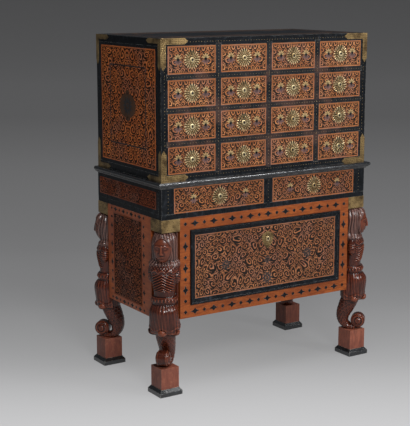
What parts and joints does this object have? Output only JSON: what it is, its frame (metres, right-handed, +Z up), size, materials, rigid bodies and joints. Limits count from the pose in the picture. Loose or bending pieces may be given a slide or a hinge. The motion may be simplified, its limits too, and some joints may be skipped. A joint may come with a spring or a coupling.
{
  "type": "cabinet on stand",
  "caption": "Inlaid cabinet of small drawers on a stand with frieze drawers, a deep drawer and carved figural legs, all drawers sliding out forwards.",
  "frame": {"origin": "floor under the middle of the stand", "axes": "+X to the right of someone who faces the drawers, +Y to the back, +Z up; the front faces -Y"},
  "size_m": [1.0498, 0.5758, 1.36],
  "materials": {
    "inlaid_teak": "polished teak inlaid with dark wood scrolls",
    "ebony": "polished near-black wood",
    "carved_rosewood": "polished dark red-brown carving",
    "plain_teak": "plain waxed wood",
    "brass": "old pierced and engraved sheet brass"
  },
  "bodies": {
    "carcass": {"cabinet_top": "inlaid_teak", "cabinet_bottom": "inlaid_teak", "cabinet_side_left": "inlaid_teak", "cabinet_side_right": "inlaid_teak", "cabinet_back": "inlaid_teak", "drawer_dividers": "ebony", "stand_top": "ebony", "frieze_frame": "ebony", "dust_board": "ebony", "stand_side_left": "inlaid_teak", "stand_side_right": "inlaid_teak", "stand_back": "inlaid_teak", "base_frame": "inlaid_teak", "stand_bottom": "plain_teak", "corner_mounts": "brass", "leg_front_left": "carved_rosewood", "leg_front_right": "carved_rosewood", "leg_back_left": "carved_rosewood", "leg_back_right": "carved_rosewood", "foot_blocks": "plain_teak", "foot_plinths": "ebony"},
    "body_r1_c1": {"drawer_r1_c1": "inlaid_teak", "lockset_r1_c1": "brass"},
    "body_r1_c2": {"drawer_r1_c2": "inlaid_teak", "lockset_r1_c2": "brass"},
    "body_r1_c3": {"drawer_r1_c3": "inlaid_teak", "lockset_r1_c3": "brass"},
    "body_r1_c4": {"drawer_r1_c4": "inlaid_teak", "lockset_r1_c4": "brass"},
    "body_r2_c1": {"drawer_r2_c1": "inlaid_teak", "lockset_r2_c1": "brass"},
    "body_r2_c2": {"drawer_r2_c2": "inlaid_teak", "lockset_r2_c2": "brass"},
    "body_r2_c3": {"drawer_r2_c3": "inlaid_teak", "lockset_r2_c3": "brass"},
    "body_r2_c4": {"drawer_r2_c4": "inlaid_teak", "lockset_r2_c4": "brass"},
    "body_r3_c1": {"drawer_r3_c1": "inlaid_teak", "lockset_r3_c1": "brass"},
    "body_r3_c2": {"drawer_r3_c2": "inlaid_teak", "lockset_r3_c2": "brass"},
    "body_r3_c3": {"drawer_r3_c3": "inlaid_teak", "lockset_r3_c3": "brass"},
    "body_r3_c4": {"drawer_r3_c4": "inlaid_teak", "lockset_r3_c4": "brass"},
    "body_r4_c1": {"drawer_r4_c1": "inlaid_teak", "lockset_r4_c1": "brass"},
    "body_r4_c2": {"drawer_r4_c2": "inlaid_teak", "lockset_r4_c2": "brass"},
    "body_r4_c3": {"drawer_r4_c3": "inlaid_teak", "lockset_r4_c3": "brass"},
    "body_r4_c4": {"drawer_r4_c4": "inlaid_teak", "lockset_r4_c4": "brass"},
    "body_frieze_left": {"frieze_drawer_left": "inlaid_teak", "frieze_lockset_left": "brass"},
    "body_frieze_right": {"frieze_drawer_right": "inlaid_teak", "frieze_lockset_right": "brass"},
    "body_base": {"base_drawer": "inlaid_teak", "base_lockset": "brass", "base_drawer_moulding": "ebony"}
  },
  "joints": [
    {"name": "slide_r1_c1", "type": "slide", "parent": "carcass", "child": "body_r1_c1", "axis": [0, -1, 0], "range_m": [0, 0.38]},
    {"name": "slide_r1_c2", "type": "slide", "parent": "carcass", "child": "body_r1_c2", "axis": [0, -1, 0], "range_m": [0, 0.38]},
    {"name": "slide_r1_c3", "type": "slide", "parent": "carcass", "child": "body_r1_c3", "axis": [0, -1, 0], "range_m": [0, 0.38]},
    {"name": "slide_r1_c4", "type": "slide", "parent": "carcass", "child": "body_r1_c4", "axis": [0, -1, 0], "range_m": [0, 0.38]},
    {"name": "slide_r2_c1", "type": "slide", "parent": "carcass", "child": "body_r2_c1", "axis": [0, -1, 0], "range_m": [0, 0.38]},
    {"name": "slide_r2_c2", "type": "slide", "parent": "carcass", "child": "body_r2_c2", "axis": [0, -1, 0], "range_m": [0, 0.38]},
    {"name": "slide_r2_c3", "type": "slide", "parent": "carcass", "child": "body_r2_c3", "axis": [0, -1, 0], "range_m": [0, 0.38]},
    {"name": "slide_r2_c4", "type": "slide", "parent": "carcass", "child": "body_r2_c4", "axis": [0, -1, 0], "range_m": [0, 0.38]},
    {"name": "slide_r3_c1", "type": "slide", "parent": "carcass", "child": "body_r3_c1", "axis": [0, -1, 0], "range_m": [0, 0.38]},
    {"name": "slide_r3_c2", "type": "slide", "parent": "carcass", "child": "body_r3_c2", "axis": [0, -1, 0], "range_m": [0, 0.38]},
    {"name": "slide_r3_c3", "type": "slide", "parent": "carcass", "child": "body_r3_c3", "axis": [0, -1, 0], "range_m": [0, 0.38]},
    {"name": "slide_r3_c4", "type": "slide", "parent": "carcass", "child": "body_r3_c4", "axis": [0, -1, 0], "range_m": [0, 0.38]},
    {"name": "slide_r4_c1", "type": "slide", "parent": "carcass", "child": "body_r4_c1", "axis": [0, -1, 0], "range_m": [0, 0.38]},
    {"name": "slide_r4_c2", "type": "slide", "parent": "carcass", "child": "body_r4_c2", "axis": [0, -1, 0], "range_m": [0, 0.38]},
    {"name": "slide_r4_c3", "type": "slide", "parent": "carcass", "child": "body_r4_c3", "axis": [0, -1, 0], "range_m": [0, 0.38]},
    {"name": "slide_r4_c4", "type": "slide", "parent": "carcass", "child": "body_r4_c4", "axis": [0, -1, 0], "range_m": [0, 0.38]},
    {"name": "slide_frieze_left", "type": "slide", "parent": "carcass", "child": "body_frieze_left", "axis": [0, -1, 0], "range_m": [0, 0.38]},
    {"name": "slide_frieze_right", "type": "slide", "parent": "carcass", "child": "body_frieze_right", "axis": [0, -1, 0], "range_m": [0, 0.38]},
    {"name": "slide_base", "type": "slide", "parent": "carcass", "child": "body_base", "axis": [0, -1, 0], "range_m": [0, 0.38]}
  ]
}
